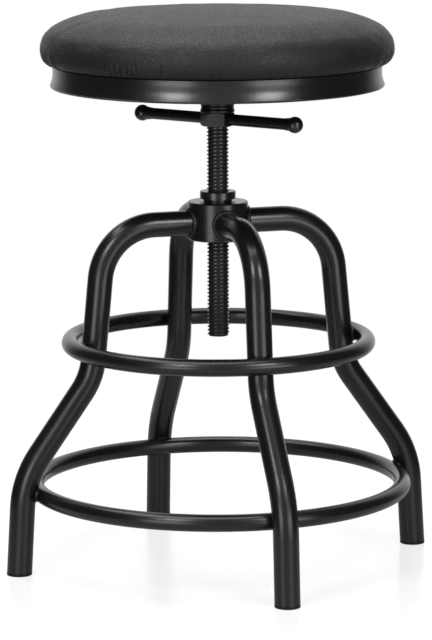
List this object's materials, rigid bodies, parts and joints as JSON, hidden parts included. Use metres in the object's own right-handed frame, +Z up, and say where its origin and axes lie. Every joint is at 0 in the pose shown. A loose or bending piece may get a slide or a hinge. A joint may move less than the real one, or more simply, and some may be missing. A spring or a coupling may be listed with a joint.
{
  "type": "swivel counter stool",
  "caption": "Height-adjustable swivel stool with a round padded seat on a threaded lift screw, a bent tube frame, a cross bar to turn the screw, and welded foot rings.",
  "frame": {"origin": "on the floor under the lift screw, in the middle of the four feet", "axes": "+Z up along the lift screw, -Y towards the front leg, +X towards the right leg"},
  "size_m": [0.4482, 0.4482, 0.5631],
  "materials": {
    "black_powder_coat": "satin",
    "black_gloss_paint": "gloss",
    "weld_bead": "satin",
    "black_screw": "satin",
    "bearing_steel": "blackened",
    "zinc_fastener": "zinc plated",
    "bronze_bush": "machined",
    "black_plastic": "matte",
    "plywood": "black stained",
    "foam": "open cell",
    "black_upholstery": "fine grain"
  },
  "bodies": {
    "frame": {"leg_front": "black_powder_coat", "leg_right": "black_powder_coat", "leg_back": "black_powder_coat", "leg_left": "black_powder_coat", "foot_plug_front": "black_plastic", "foot_plug_right": "black_plastic", "foot_plug_back": "black_plastic", "foot_plug_left": "black_plastic", "upper_ring": "black_powder_coat", "lower_ring": "black_powder_coat", "upper_ring_welds": "weld_bead", "lower_ring_welds": "weld_bead", "hub": "black_powder_coat", "hub_welds": "weld_bead", "lift_nut": "black_screw"},
    "bearing": {"ball_cage": "bearing_steel", "bearing_balls": "bearing_steel"},
    "screw": {"lift_screw": "black_screw", "hex_head": "black_powder_coat", "lower_race": "bearing_steel", "retaining_washer": "zinc_fastener", "retaining_nut": "zinc_fastener"},
    "bar": {"tommy_bar": "black_powder_coat", "ball_end_right": "black_gloss_paint", "ball_end_left": "black_gloss_paint"},
    "seat": {"upper_race": "bearing_steel", "swivel_bush": "bronze_bush", "swivel_socket": "black_powder_coat", "seat_plate": "black_powder_coat", "plate_bolts": "zinc_fastener", "tee_nuts": "zinc_fastener", "seat_board": "plywood", "seat_foam": "foam", "seat_cover": "black_upholstery", "seat_rim": "black_gloss_paint", "rim_flange": "black_gloss_paint", "rim_screws": "zinc_fastener"}
  },
  "joints": [
    {"name": "seat_lift", "type": "slide", "parent": "frame", "child": "bearing", "axis": [0, 0, 1], "range_m": [-0.06271, 0.08741]},
    {"name": "screw_turn", "type": "hinge", "parent": "bearing", "child": "screw", "pos_m": [0, 0, 0.4], "axis": [0, 0, 1], "range_deg": [-5940, 8280]},
    {"name": "bar_slide", "type": "slide", "parent": "screw", "child": "bar", "axis": [0.5736, -0.8192, 0], "range_m": [-0.0663, 0.0663]},
    {"name": "seat_swivel", "type": "hinge", "parent": "bearing", "child": "seat", "pos_m": [0, 0, 0.5], "axis": [0, 0, 1], "continuous": true}
  ],
  "couplings": [
    {"joint": "seat_lift", "follows": "screw_turn", "m_per_rad": 0.00060479}
  ]
}
